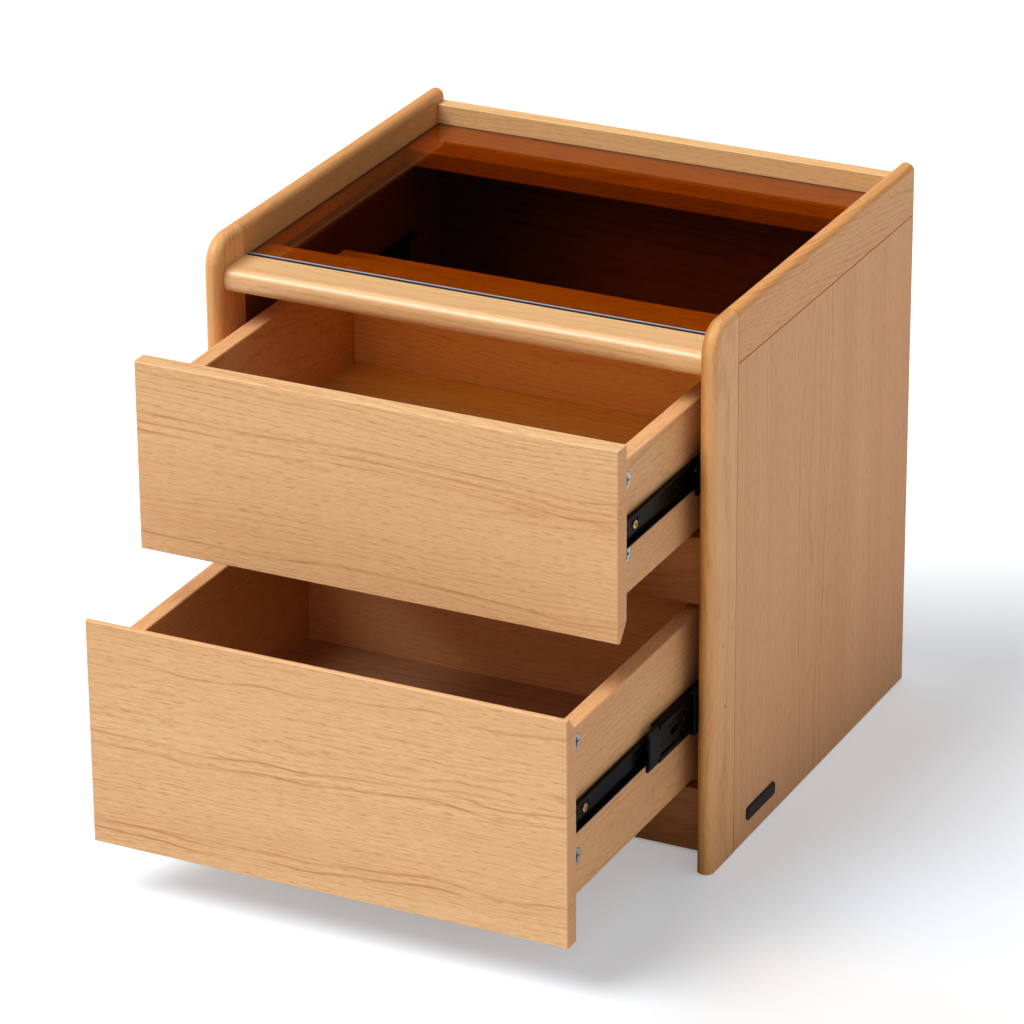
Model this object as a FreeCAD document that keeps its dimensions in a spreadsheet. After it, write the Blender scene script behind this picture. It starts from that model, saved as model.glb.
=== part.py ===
import FreeCAD, Part
import os
import Sketcher

# Nightstand with two inset drawers on ball bearing slides, a glass top and rounded solid edges.
# Millimetres. X to the right, Y to the back, Z up. The origin lies on the floor under the centre
# of the whole object, with its drawers drawn out as far as they rest in this model.

V = FreeCAD.Vector
X_AXIS = V(1, 0, 0)
Y_AXIS = V(0, 1, 0)
Z_AXIS = V(0, 0, 1)
SIDES = (("left", -1), ("right", 1))

# Driving dimensions, kept in the document's sheet.
DIMENSIONS = {
    # Carcass
    "width": 450,
    "height": 472.4,
    "side_thick": 14,
    "stile_depth": 45,
    "panel_depth": 358.5,
    "top_rail_height": 45.2,
    "corner_radius": 26,
    "round_flat": 0.2,
    "seam_arris": 0.6,
    "board_arris": 0.8,
    "rear_arris": 1.6,
    # Boards between the sides
    "top_drop": 26.7,
    "nose_setback": 9,
    "nose_thick": 20,
    "nose_radius": 8,
    "nose_depth": 37.8,
    "ledge_depth": 33.7,
    "glass_thick": 5,
    "glass_seat": 0.2,
    "glass_arris": 0.8,
    "glass_gap": 0.7,
    "glass_side_gap": 0.5,
    "rear_rail_depth": 65,
    "rail_thick": 15,
    "gallery_thick": 13.6,
    "gallery_height": 45,
    "gallery_rise": 16.4,
    "mid_rail_drop": 41.5,
    "rail_height": 58,
    "bottom_rail_height": 56,
    "floor_gap": 2,
    "back_thick": 6,
    "back_inset": 2,
    "back_groove": 6,
    "groove_play": 0.2,
    # Drawer fronts
    "front_recess": 15,
    "front_thick": 15,
    "front_side_gap": 2.3,
    "stop_gap": 2,
    "pull_height": 14,
    "pull_depth": 11,
    # Drawer boxes
    "box_board": 14.6,
    "box_length": 314.6,
    "slide_space": 13.7,
    "bottom_thick": 5,
    "bottom_rise": 17,
    "bottom_groove": 5,
    "upper_front_gap": 2.9,
    "upper_front_height": 160.3,
    "upper_box_rise": 23.8,
    "upper_box_height": 112.1,
    "upper_open": 155,
    "upper_cam_drop": 17.5,
    "lower_front_low": 44,
    "fronts_gap": 24.7,
    "lower_box_rise": 25.3,
    "lower_box_drop": 7.2,
    "lower_open": 245,
    "lower_cam_drop": 13.5,
    "cam_rise": 33,
    # Slides
    "slide_length": 300,
    "slide_setback": 3,
    "member_inset": 2,
    "steel": 1.2,
    "slide_drop": 1.6,
    "cabinet_member_height": 42,
    "cabinet_member_reach": 9,
    "cabinet_member_lip": 2.2,
    "middle_length": 270,
    "middle_setback": 20,
    "middle_height": 32.6,
    "middle_start": 4.4,
    "middle_reach": 12.6,
    "middle_recess": 1.6,
    "upper_middle_out": 20,
    "lower_middle_out": 110,
    "drawer_member_height": 23.4,
    "drawer_member_lip": 4.8,
    "bumper_length": 20,
    "bumper_depth": 4.2,
    "ball_radius": 1.6,
    "cage_thick": 0.6,
    "outer_cage_start": 27,
    "outer_cage_length": 160,
    "outer_cage_offset": 2,
    "outer_cage_reach": 7.3,
    "inner_cage_start": 138,
    "inner_cage_length": 50,
    "inner_cage_offset": 7.4,
    "inner_cage_reach": 12.2,
    "screw_length": 12,
    "screw_radius": 1.75,
    "first_screw": 34,
    "second_screw": 150,
    "third_screw": 262,
    "front_notch": 17,
    "side_slot": 39.3,
    "rear_slot": 190,
    "lever_start": 202,
    "lever_length": 46,
    "middle_oval": 29,
    "middle_slot": 50,
    "middle_slot_pitch": 82,
    # Fasteners and trim
    "dowel_radius": 4,
    "dowel_length": 20,
    "dowel_play": 0.1,
    "cam_radius": 7.3,
    "cam_depth": 12.2,
    "cam_setback": 25,
    "cam_play": 0.2,
    "stud_length": 10.5,
    "badge_length": 56,
    "badge_height": 11.6,
    "badge_thick": 1.6,
    "badge_radius": 3.2,
    "badge_setback": 24.6,
    "badge_level": 17.2,
}


class Size:
    """A length that is known as a number and as a formula of the sheet's cells."""

    def __init__(self, value, text):
        self.value = value
        self.text = text

    def joined(self, other, sign, value):
        return Size(value, "(%s %s %s)" % (self.text, sign, formula(other)))

    def __add__(self, other):
        return self.joined(other, "+", self.value + number(other))

    def __sub__(self, other):
        return self.joined(other, "-", self.value - number(other))

    def __mul__(self, other):
        return self.joined(other, "*", self.value * number(other))

    def __truediv__(self, other):
        return self.joined(other, "/", self.value / number(other))

    def __neg__(self):
        return Size(-self.value, "(-1 * %s)" % self.text)


def number(item):
    """The plain number of a Size or of a number."""
    return item.value if isinstance(item, Size) else float(item)


def formula(item):
    """The sheet formula of a Size or of a number."""
    return item.text if isinstance(item, Size) else "(%s)" % item


def vector(place):
    """A vector from three Sizes or numbers."""
    return V(*[number(item) for item in place])


doc = FreeCAD.newDocument("nightstand")
sheet = doc.addObject("Spreadsheet::Sheet", "Sizes")
D = {}
for row, (alias, value) in enumerate(DIMENSIONS.items(), start=1):
    sheet.set("A%d" % row, alias)
    sheet.set("B%d" % row, str(value))
    sheet.setAlias("B%d" % row, alias)
    D[alias] = Size(value, "Sizes." + alias)
doc.recompute()

# Levels and planes that several pieces share. The seam is the plane between stile and panel.
half_width = D["width"] / 2
inner = half_width - D["side_thick"]
front_to_seam = D["stile_depth"] - D["front_recess"]
seam = (front_to_seam + D["lower_open"] - D["panel_depth"]) / 2
cabinet_front = seam - D["stile_depth"]
cabinet_rear = seam + D["panel_depth"]
rail_low = D["height"] - D["top_rail_height"]
round_radius = D["side_thick"] / 2 - D["round_flat"]
top_level = D["height"] - D["top_drop"]
ledge_level = top_level - D["glass_thick"] - D["glass_seat"]
nose_low = top_level - D["nose_thick"]
gallery_top = top_level + D["gallery_rise"]
gallery_low = gallery_top - D["gallery_height"]
gallery_front = cabinet_rear - D["gallery_thick"]
closed_back = seam - front_to_seam + D["front_thick"]
rail_front = closed_back + D["stop_gap"]
slide_front = closed_back + D["slide_setback"]
back_front = gallery_front + D["back_inset"]
bottom_rail_top = D["floor_gap"] + D["bottom_rail_height"]
box_half = inner - D["slide_space"]
upper_front_low = nose_low - D["upper_front_gap"] - D["upper_front_height"]
mid_rail_low = upper_front_low - D["mid_rail_drop"]

parts = {}
holes = {}


# Helpers for placing and shaping

def place(item, where, rotation=None):
    """Put an object at a place whose three values follow the sheet."""
    item.Placement = FreeCAD.Placement(vector(where), rotation or FreeCAD.Rotation())
    for axis, value in zip("xyz", where):
        if isinstance(value, Size):
            item.setExpression("Placement.Base." + axis, value.text)


def bind(item, **sizes):
    """Give an object's properties their sizes, as numbers or as sheet formulas."""
    for name, value in sizes.items():
        setattr(item, name, number(value))
        if isinstance(value, Size):
            item.setExpression(name, value.text)


def new_body(name):
    body = doc.addObject("PartDesign::Body", name)
    body.Label = name
    return body


def outline(body, role, points):
    """A closed sketch through points on one of the body's own planes."""
    sketch = body.newObject("Sketcher::SketchObject", body.Name + "_outline")
    plane = next(f for f in body.Origin.OriginFeatures if f.Role == role)
    sketch.AttachmentSupport = (plane, [""])
    sketch.MapMode = "FlatFace"
    corners = [V(number(a), number(b), 0) for a, b in points]
    count = len(corners)
    for i in range(count):
        sketch.addGeometry(Part.LineSegment(corners[i], corners[(i + 1) % count]), False)
    for i in range(count):
        sketch.addConstraint(Sketcher.Constraint("Coincident", i, 2, (i + 1) % count, 1))
    for i, point in enumerate(points):
        for kind, value in zip(("DistanceX", "DistanceY"), point):
            limit = Sketcher.Constraint(kind, -1, 1, i, 1, number(value))
            index = sketch.addConstraint(limit)
            if isinstance(value, Size):
                sketch.setExpression("Constraints[%d]" % index, value.text)
    return sketch


def pad(body, role, points, length, reverse=False):
    """Extrude a closed outline."""
    feature = body.newObject("PartDesign::Pad", body.Name + "_pad")
    feature.Profile = outline(body, role, points)
    feature.Reversed = reverse
    bind(feature, Length=length)
    doc.recompute()
    return feature


def edge_names(feature, wanted):
    """Names of the edges whose box passes a test."""
    edges = enumerate(feature.Shape.Edges, start=1)
    return ["Edge%d" % i for i, edge in edges if wanted(edge.BoundBox)]


def near(a, b):
    return abs(a - number(b)) < 1e-3


def dress(body, kind, size, wanted):
    """Round or bevel the edges of a body's tip that pass a test."""
    base = body.Tip
    feature = body.newObject("PartDesign::" + kind, body.Name + "_" + kind.lower())
    feature.Base = (base, edge_names(base, wanted))
    bind(feature, **{"Radius" if kind == "Fillet" else "Size": size})
    doc.recompute()
    return feature


def runs_along_x(box):
    return box.XLength > 1


def lies_on_face(box):
    return box.XLength < 1e-3


def finish(name, item):
    """Cut the holes that the joints asked for, and record the sub-part."""
    item.Label = name + "_blank" if name in holes else name
    if name in holes:
        tool = doc.addObject("Part::Feature", name + "_holes")
        tool.Shape = Part.makeCompound(holes[name])
        cut = doc.addObject("Part::Cut", name + "_drilled")
        cut.Base = item
        cut.Tool = tool
        cut.Label = name
        item = cut
    parts[name] = item


def board(name, low, high, arris=None):
    """A flat board between two corners, with its four long corners and ends eased."""
    low_x, low_y, low_z = low
    high_x, high_y, high_z = high
    body = new_body(name + "_board")
    depth = high_y - low_y
    rise = high_z - low_z
    points = [(0, 0), (depth, 0), (depth, rise), (0, rise)]
    pad(body, "YZ_Plane", points, high_x - low_x)
    if arris:
        dress(body, "Chamfer", arris, lambda box: True)
    place(body, low)
    finish(name, body)


def group(name, shapes):
    """Alike fasteners as separate solids of one sub-part."""
    item = doc.addObject("Part::Feature", name)
    item.Shape = Part.makeCompound(shapes)
    item.Placement = FreeCAD.Placement()
    parts[name] = item


def drill(names, shape):
    for name in names:
        holes.setdefault(name, []).append(shape)


# Fasteners, each shown once at the origin and then turned into place

def turned(shape, where, x_dir, z_dir):
    """A copy whose own X and Z point along the given directions."""
    copy = shape.copy()
    turn = FreeCAD.Rotation(x_dir, z_dir.cross(x_dir), z_dir, "ZXY")
    copy.Placement = FreeCAD.Placement(where, turn)
    return copy


def dowel(names, where, axis, list_of_dowels):
    """A wooden pin centred on a joint plane, with its hole in both boards."""
    radius = number(D["dowel_radius"])
    length = number(D["dowel_length"])
    play = number(D["dowel_play"])
    pin = Part.makeCylinder(radius, length, where - axis * (length / 2), axis)
    rims = [e for e in pin.Edges if e.Closed]
    list_of_dowels.append(pin.makeChamfer(1, rims))
    bore_length = length + 2
    drill(names, Part.makeCylinder(radius + play, bore_length, where - axis * (bore_length / 2), axis))


def cam_shape():
    """A cam lock: a drum with a cross slot in its face and a mouth for the bolt's head."""
    radius = number(D["cam_radius"])
    depth = number(D["cam_depth"])
    slot_long = 8.4
    slot_wide = 1.7
    slot_deep = 2.4
    drum = Part.makeCylinder(radius, depth, V(0, 0, -depth))
    rim = [e for e in drum.Edges if e.Closed and near(e.BoundBox.ZMax, 0)]
    drum = drum.makeChamfer(0.4, rim)
    for long_side, wide_side in ((slot_long, slot_wide), (slot_wide, slot_long)):
        corner = V(-long_side / 2, -wide_side / 2, -slot_deep)
        drum = drum.cut(Part.makeBox(long_side, wide_side, slot_deep + 1, corner))
    return drum


def bolt_shape(reach):
    """A cam bolt along X: a stud before the joint plane, a shank and a ball head after it."""
    stud_radius = 2.4
    shank_radius = 3.4
    neck_radius = 1.6
    head_radius = 2.8
    neck_length = 6
    stud = Part.makeCylinder(stud_radius, number(D["stud_length"]), V(0, 0, 0), -X_AXIS)
    shank_end = reach - number(D["cam_radius"]) - 0.6
    shank = Part.makeCylinder(shank_radius, shank_end, V(0, 0, 0), X_AXIS)
    neck = Part.makeCylinder(neck_radius, neck_length, V(shank_end - 0.1, 0, 0), X_AXIS)
    head = Part.makeSphere(head_radius, V(shank_end + neck_length - 0.5, 0, 0))
    return stud.fuse([shank, neck, head]).removeSplitter()


def cam_joint(names, where, inward, face_normal, half_thick, cams, bolts):
    """A cam in the first board pulls on a bolt that is screwed into the others."""
    reach = number(D["cam_setback"])
    play = number(D["cam_play"])
    radius = number(D["cam_radius"])
    depth = number(D["cam_depth"])
    centre = where + inward * reach + face_normal * half_thick
    mouth_radius = 3.8
    mouth = Part.makeCylinder(mouth_radius, radius + 2, V(-radius - 1, 0, -half_thick), X_AXIS)
    drum = cam_shape().cut(mouth)
    cams.append(turned(drum, centre, inward, face_normal))
    bolts.append(turned(bolt_shape(reach), where, inward, face_normal))
    pocket = Part.makeCylinder(radius + play, depth + play + 1, centre + face_normal, -face_normal)
    shaft = Part.makeCylinder(mouth_radius, reach, where, inward)
    drill(names[:1], pocket.fuse(shaft))
    drill(names[1:], Part.makeCylinder(2.5, number(D["stud_length"]) + 0.4, where, -inward))


def flat_screw():
    """A countersunk screw along -Z, its head flush at z = 0."""
    head_radius = 3.4
    head_depth = 1.7
    shank = number(D["screw_radius"])
    length = number(D["screw_length"])
    head = Part.makeCone(shank, head_radius, head_depth, V(0, 0, -head_depth))
    body = Part.makeCylinder(shank, length, V(0, 0, -length))
    return head.fuse(body).removeSplitter()


def pan_screw():
    """A pan head screw along -Z with a cross slot, its head standing on z = 0."""
    head_radius = 3.7
    head_height = 1.3
    slot_long = 4.6
    slot_wide = 1.3
    slot_deep = 0.9
    shank = number(D["screw_radius"])
    length = number(D["screw_length"])
    head = Part.makeCylinder(head_radius, head_height)
    rim = [e for e in head.Edges if e.Closed and near(e.BoundBox.ZMax, head_height)]
    head = head.makeFillet(0.8, rim)
    for turn in (0, 90):
        slot = Part.makeBox(slot_long, slot_wide, slot_deep + 1, V(-slot_long / 2, -slot_wide / 2,
                                                                   head_height - slot_deep))
        slot.rotate(V(0, 0, 0), Z_AXIS, turn)
        head = head.cut(slot)
    body = Part.makeCylinder(shank, length, V(0, 0, -length))
    return head.fuse(body).removeSplitter()


# The cabinet's joints

def rail_joints():
    """Dowels and cams between the boards that cross the cabinet and its sides."""
    dowels = []
    cams = []
    bolts = []
    half_rail = number(D["rail_thick"]) / 2
    rail_mid_y = number(rail_front) + half_rail
    rear_mid_y = number(cabinet_rear) - half_rail
    mid_z = number(mid_rail_low + D["rail_height"] / 2)
    low_z = number(D["floor_gap"] + D["bottom_rail_height"] / 2)
    upright = (
        ("mid_front_rail", rail_mid_y, mid_z, Y_AXIS, "side_panel"),
        ("bottom_front_rail", rail_mid_y, low_z, Y_AXIS, "side_panel"),
        ("bottom_rear_rail", rear_mid_y, low_z, -Y_AXIS, "side_panel"),
    )
    dowel_spread = 18
    for side_name, side in SIDES:
        inward = X_AXIS * -side
        face = number(inner) * side
        posts = [side_name + "_front_stile", side_name + "_side_panel"]
        for name, y, z, normal, post in upright:
            where = V(face, y, z)
            cam_joint([name] + posts, where, inward, normal, half_rail, cams, bolts)
            for step in (-dowel_spread, dowel_spread):
                dowel([name] + posts, where + Z_AXIS * step, inward, dowels)
        # The nose board is held by a cam to the stile and a dowel to the top rail.
        half_nose = number(D["nose_thick"]) / 2
        nose_z = number(top_level) - half_nose
        nose_y = number(seam) - 16
        where = V(face, nose_y, nose_z)
        cam_joint(["front_top_rail"] + posts[:1], where, inward, -Z_AXIS, half_nose, cams, bolts)
        top_names = [side_name + "_top_rail", side_name + "_side_panel"]
        ledge_mid = number(seam) + 20
        dowel(["front_top_rail"] + top_names, V(face, ledge_mid, nose_z), inward, dowels)
        # The rear glass rail lies flat too.
        flat_z = number(ledge_level) - half_rail
        flat_y = number(gallery_front - D["rear_rail_depth"] / 2)
        where = V(face, flat_y, flat_z)
        cam_joint(["rear_glass_rail"] + top_names, where, inward, -Z_AXIS, half_rail, cams, bolts)
        for step in (-dowel_spread, dowel_spread):
            dowel(["rear_glass_rail"] + top_names, where + Y_AXIS * step, inward, dowels)
        gallery_y = number(cabinet_rear - D["gallery_thick"] / 2)
        for level in (12, 32):
            where = V(face, gallery_y, number(gallery_low) + level)
            dowel(["rear_gallery_rail"] + top_names, where, inward, dowels)
        side_dowels(side_name, side, dowels)
    group("cabinet_dowels", dowels)
    group("cabinet_cam_locks", cams)
    group("cabinet_cam_bolts", bolts)


def side_dowels(side_name, side, dowels):
    """Dowels that join stile, panel and top rail within one side."""
    middle = number(half_width - D["side_thick"] / 2) * side
    seam_y = number(seam)
    panel = side_name + "_side_panel"
    stile = side_name + "_front_stile"
    rail = side_name + "_top_rail"
    panel_height = number(rail_low)
    for share in (0.2, 0.45, 0.8):
        dowel([panel, stile], V(middle, seam_y, panel_height * share), Y_AXIS, dowels)
    rail_mid = panel_height + number(D["top_rail_height"]) / 2
    dowel([rail, stile], V(middle, seam_y, rail_mid - 3), Y_AXIS, dowels)
    for share in (0.2, 0.5, 0.72):
        y = seam_y + number(D["panel_depth"]) * share
        dowel([panel, rail], V(middle, y, panel_height), Z_AXIS, dowels)


# The cabinet's boards

def side_frame(side_name, side):
    """One side: a panel, a rounded stile in front of it and a rounded rail on top."""
    thick = D["side_thick"]
    low_x = inner if side > 0 else -half_width
    arris = D["seam_arris"]
    board_names = (side_name + "_side_panel", side_name + "_front_stile", side_name + "_top_rail")
    panel, stile, rail = board_names

    body = new_body(panel + "_board")
    points = [(0, 0), (D["panel_depth"], 0), (D["panel_depth"], rail_low), (0, rail_low)]
    pad(body, "YZ_Plane", points, thick)
    at_rear = lambda b: lies_on_face(b) and b.YMin > 1 and b.ZLength > 20
    dress(body, "Chamfer", D["rear_arris"], at_rear)
    dress(body, "Chamfer", arris, lambda b: lies_on_face(b) and (b.YMax < 1 or b.YLength > 20))
    place(body, (low_x, seam, 0))
    back_groove(panel, side)
    finish(panel, body)

    body = new_body(stile + "_board")
    front = -D["stile_depth"]
    points = [(front, 0), (0, 0), (0, D["height"]), (front, D["height"])]
    pad(body, "YZ_Plane", points, thick)
    top_corner = lambda b: runs_along_x(b) and near(b.YMax, front) and near(b.ZMin, D["height"])
    dress(body, "Fillet", D["corner_radius"], top_corner)
    outside = lambda b: lies_on_face(b) and b.ZMax > 1 and b.YMin < -1
    dress(body, "Fillet", round_radius, outside)
    dress(body, "Chamfer", arris, lambda b: b.YMin > -1e-3 and b.ZLength > 100)
    place(body, (low_x, seam, 0))
    finish(stile, body)

    body = new_body(rail + "_board")
    height = D["top_rail_height"]
    points = [(0, 0), (D["panel_depth"], 0), (D["panel_depth"], height), (0, height)]
    pad(body, "YZ_Plane", points, thick)
    dress(body, "Fillet", round_radius, lambda b: lies_on_face(b) and near(b.ZMin, height))
    dress(body, "Chamfer", D["rear_arris"], at_rear)
    dress(body, "Chamfer", arris, lambda b: lies_on_face(b) and (b.YMax < 1 or b.ZMax < 1))
    place(body, (low_x, seam, rail_low))
    finish(rail, body)


def back_groove(name, side):
    """The groove in a side panel that holds the back panel's edge."""
    depth = number(D["back_groove"])
    play = number(D["groove_play"])
    low = number(bottom_rail_top) - depth
    high = number(gallery_low) + depth
    width = number(D["back_thick"]) + 2 * play
    x = number(inner) - 1 if side > 0 else -number(inner) - depth
    corner = V(x, number(back_front) - play, low)
    drill([name], Part.makeBox(depth + 1, width, high - low, corner))


def profile_rail(name, points, where, nose=None):
    """A board across the cabinet with its own end outline."""
    body = new_body(name + "_board")
    pad(body, "YZ_Plane", points, inner * 2)
    if nose:
        dress(body, "Fillet", nose, lambda b: runs_along_x(b) and near(b.YMax, 0))
    dress(body, "Chamfer", D["board_arris"] / 2, lambda b: runs_along_x(b) and b.ZMin > 1)
    place(body, where)
    finish(name, body)


def front_top_rail():
    """The rounded nose board, rebated behind its top face for the glass."""
    thick = D["nose_thick"]
    depth = D["nose_depth"]
    full = depth + D["ledge_depth"]
    step = thick - D["glass_thick"] - D["glass_seat"]
    points = [(0, 0), (full, 0), (full, step), (depth, step), (depth, thick), (0, thick)]
    where = (-inner, cabinet_front + D["nose_setback"], nose_low)
    profile_rail("front_top_rail", points, where, D["nose_radius"])


def cross_boards():
    """Rails between the sides, the gallery board and the captured back."""
    thick = D["rail_thick"]
    arris = D["board_arris"]
    front_top_rail()
    board("rear_glass_rail", (-inner, gallery_front - D["rear_rail_depth"], ledge_level - thick),
          (inner, gallery_front, ledge_level), arris)
    for name, low, rise in (("mid_front_rail", mid_rail_low, D["rail_height"]),
                            ("bottom_front_rail", D["floor_gap"], D["bottom_rail_height"])):
        board(name, (-inner, rail_front, low), (inner, rail_front + thick, low + rise), arris)

    groove = D["back_groove"]
    play = D["groove_play"]
    near_y = D["back_inset"] - play
    far_y = near_y + D["back_thick"] + play * 2
    deep = D["gallery_thick"]
    rise = D["gallery_height"]
    points = [(0, 0), (near_y, 0), (near_y, groove), (far_y, groove), (far_y, 0), (deep, 0),
              (deep, rise), (0, rise)]
    profile_rail("rear_gallery_rail", points, (-inner, gallery_front, gallery_low))

    start = thick - D["gallery_thick"]
    rise = D["bottom_rail_height"]
    points = [(0, 0), (thick, 0), (thick, rise), (start + far_y, rise), (start + far_y, rise - groove),
              (start + near_y, rise - groove), (start + near_y, rise), (0, rise)]
    profile_rail("bottom_rear_rail", points, (-inner, cabinet_rear - thick, D["floor_gap"]))

    reach = inner + groove - play
    board("back_panel", (-reach, back_front, bottom_rail_top - groove + play),
          (reach, back_front + D["back_thick"], gallery_low + groove - play))


def glass_top():
    """The tinted glass plate that lies in the rebate and on the rear rail."""
    edge = inner - D["glass_side_gap"]
    front = cabinet_front + D["nose_setback"] + D["nose_depth"] + D["glass_gap"]
    low = ledge_level + D["glass_seat"]
    rear = gallery_front - D["glass_seat"]
    board("glass_top", (-edge, front, low), (edge, rear, top_level), D["glass_arris"])


def badge_plate():
    """A bare plate with rounded corners near the floor on the right side."""
    body = new_body("badge_plate_body")
    length = D["badge_length"]
    rise = D["badge_height"]
    pad(body, "YZ_Plane", [(0, 0), (length, 0), (length, rise), (0, rise)], D["badge_thick"])
    dress(body, "Fillet", D["badge_radius"], lambda b: runs_along_x(b))
    dress(body, "Fillet", D["badge_thick"] / 3, lambda b: lies_on_face(b) and b.XMin > 1)
    place(body, (half_width, seam + D["badge_setback"], D["badge_level"]))
    finish("badge_plate", body)


# Drawers

class Drawer:
    """The places that one drawer's pieces share."""

    def __init__(self, name):
        self.name = name
        self.open = D[name + "_open"]
        self.back_face = closed_back - self.open
        box_rise = D[name + "_box_rise"]
        if name == "upper":
            self.front_low = upper_front_low
            self.front_height = D["upper_front_height"]
            self.height = D["upper_box_height"]
        else:
            # The lower drawer fills the height that the upper one and the middle rail leave.
            self.front_low = D["lower_front_low"]
            self.front_height = upper_front_low - D["fronts_gap"] - self.front_low
            self.height = mid_rail_low - D["lower_box_drop"] - self.front_low - box_rise
        self.low = self.front_low + box_rise
        self.top = self.low + self.height
        self.rear = self.back_face + D["box_length"]
        self.slide_level = self.low + self.height / 2 - D["slide_drop"]
        self.middle_out = D[name + "_middle_out"]
        self.cam_drop = D[name + "_cam_drop"]

    def piece(self, piece_name):
        return "%s_drawer_%s" % (self.name, piece_name)


def drawer_front(drawer):
    """The front, with a long bevel behind one edge that fingers reach into."""
    half = inner - D["front_side_gap"]
    thick = D["front_thick"]
    rise = drawer.front_height
    pull = D["pull_height"]
    lip = thick - D["pull_depth"]
    if drawer.name == "upper":
        points = [(0, 0), (lip, 0), (thick, pull), (thick, rise), (0, rise)]
    else:
        points = [(0, 0), (thick, 0), (thick, rise - pull), (lip, rise), (0, rise)]
    name = drawer.piece("front")
    body = new_body(name + "_board")
    pad(body, "YZ_Plane", points, half * 2)
    dress(body, "Chamfer", D["board_arris"], lambda b: b.YMax < 1e-3)
    place(body, (-half, drawer.back_face - thick, drawer.front_low))
    bottom_groove(drawer, name)
    finish(name, body)


def bottom_groove(drawer, name):
    """The groove round the box that the drawer bottom slides into."""
    play = number(D["groove_play"])
    groove = number(D["bottom_groove"])
    half = number(box_half - D["box_board"]) + groove
    front = number(drawer.back_face) - groove
    back = number(drawer.rear - D["box_board"]) + groove
    low = number(drawer.low + D["bottom_rise"]) - play
    rise = number(D["bottom_thick"]) + 2 * play
    drill([name], Part.makeBox(2 * half, back - front, rise, V(-half, front, low)))


def drawer_box(drawer):
    """Sides, back and bottom with their dowels, cams and bolts."""
    dowels = []
    cams = []
    bolts = []
    thick = D["box_board"]
    arris = D["board_arris"]
    front = drawer.piece("front")
    back = drawer.piece("back")
    half_board = number(thick) / 2
    levels = (number(drawer.low + D["cam_rise"]), number(drawer.top - drawer.cam_drop))
    for side_name, side in SIDES:
        name = drawer.piece(side_name + "_side")
        middle = number(box_half) - half_board
        for level in levels:
            where = V(middle * side, number(drawer.back_face), level)
            cam_joint([name, front], where, Y_AXIS, X_AXIS * side, half_board, cams, bolts)
        face = number(box_half - thick) * side
        for share in (0.4, 0.8):
            level = number(drawer.low + drawer.height * share)
            where = V(face, number(drawer.rear) - half_board, level)
            dowel([name, back], where, X_AXIS, dowels)
        screw_pilots(drawer, name, side)
        bottom_groove(drawer, name)
        low_x = box_half - thick if side > 0 else -box_half
        board(name, (low_x, drawer.back_face, drawer.low), (low_x + thick, drawer.rear, drawer.top), arris)
    bottom_groove(drawer, back)
    board(back, (-box_half + thick, drawer.rear - thick, drawer.low),
          (box_half - thick, drawer.rear, drawer.top), arris)
    drawer_front(drawer)

    reach = D["bottom_groove"] - D["groove_play"]
    half = box_half - thick + reach
    level = drawer.low + D["bottom_rise"]
    board(drawer.piece("bottom"), (-half, drawer.back_face - reach, level),
          (half, drawer.rear - thick + reach, level + D["bottom_thick"]))
    group(drawer.piece("dowels"), dowels)
    group(drawer.piece("cam_locks"), cams)
    group(drawer.piece("cam_bolts"), bolts)


# Slides. On each side, their depth is counted from the side panel's inner face towards the box.

SLIDE_SCREWS = [number(D[name]) for name in ("first_screw", "second_screw", "third_screw")]


def slide_place(side, y, z):
    """Where a slide piece's own origin goes: on the side panel's inner face."""
    turn = FreeCAD.Rotation() if side > 0 else FreeCAD.Rotation(Y_AXIS, 180)
    return (inner if side > 0 else -inner, y, z), turn


def slide_point(side, depth, y, z):
    return V((number(inner) - depth) * side, y, z)


def channel(name, points, length, side, y, z):
    """A bent steel channel that runs along Y, its two heel corners rounded."""
    body = new_body(name + "_body")
    pad(body, "XZ_Plane", [(-depth, level) for depth, level in points], length, reverse=True)
    place(body, *slide_place(side, y, z))
    return body


def steel_section(start, reach, height, lip=None):
    """The outline of a C section whose web is at its start and whose flanges end at its reach."""
    t = D["steel"] if number(reach) > number(start) else -D["steel"]
    half = height / 2
    inside = half - D["steel"]
    upper = [(start, half), (reach, half)]
    if lip:
        upper += [(reach, half - lip), (reach - t, half - lip), (reach - t, inside)]
    else:
        upper += [(reach, inside)]
    upper += [(start + t, inside)]
    return upper + [(depth, -level) for depth, level in reversed(upper)]


def middle_section(start, reach, half, recess):
    """The outline of the middle channel, whose web steps in between its two ball tracks."""
    steel = D["steel"]
    track = half * 0.72
    step_end = track - recess
    slope = steel / 2
    upper = [(start + recess, step_end), (start, track), (start, half), (reach, half), (reach, half - steel),
             (start + steel, half - steel), (start + steel, track + slope),
             (start + recess + steel, step_end + slope)]
    return upper + [(depth, -level) for depth, level in reversed(upper)]


def oval(side, depth, y, z, length, width, along):
    """A round-ended slot tool through a slide's web."""
    reach = 6
    tools = []
    for end in (-1, 1):
        offset = along * (end * (length - width) / 2)
        base = slide_point(side, depth, y, z) + offset - X_AXIS * (reach / 2)
        tools.append(Part.makeCylinder(width / 2, reach, base, X_AXIS))
    span = length - width
    sizes = V(reach, span, width) if along == Y_AXIS else V(reach, width, span)
    corner = slide_point(side, depth, y, z) - sizes / 2
    tools.append(Part.makeBox(sizes.x, sizes.y, sizes.z, corner))
    return tools[0].fuse(tools[1:]).removeSplitter()


def screw_pilots(drawer, name, side):
    """Pilot holes in a drawer side for the slide's screws."""
    start = number(drawer.back_face + D["member_inset"])
    depth = number(D["slide_space"]) - 1
    hole_depth = number(D["screw_length"]) + 1
    for step in SLIDE_SCREWS:
        base = slide_point(side, depth, start + step, number(drawer.slide_level))
        drill([name], Part.makeCylinder(number(D["screw_radius"]) + 0.1, hole_depth, base, X_AXIS * -side))


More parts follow.
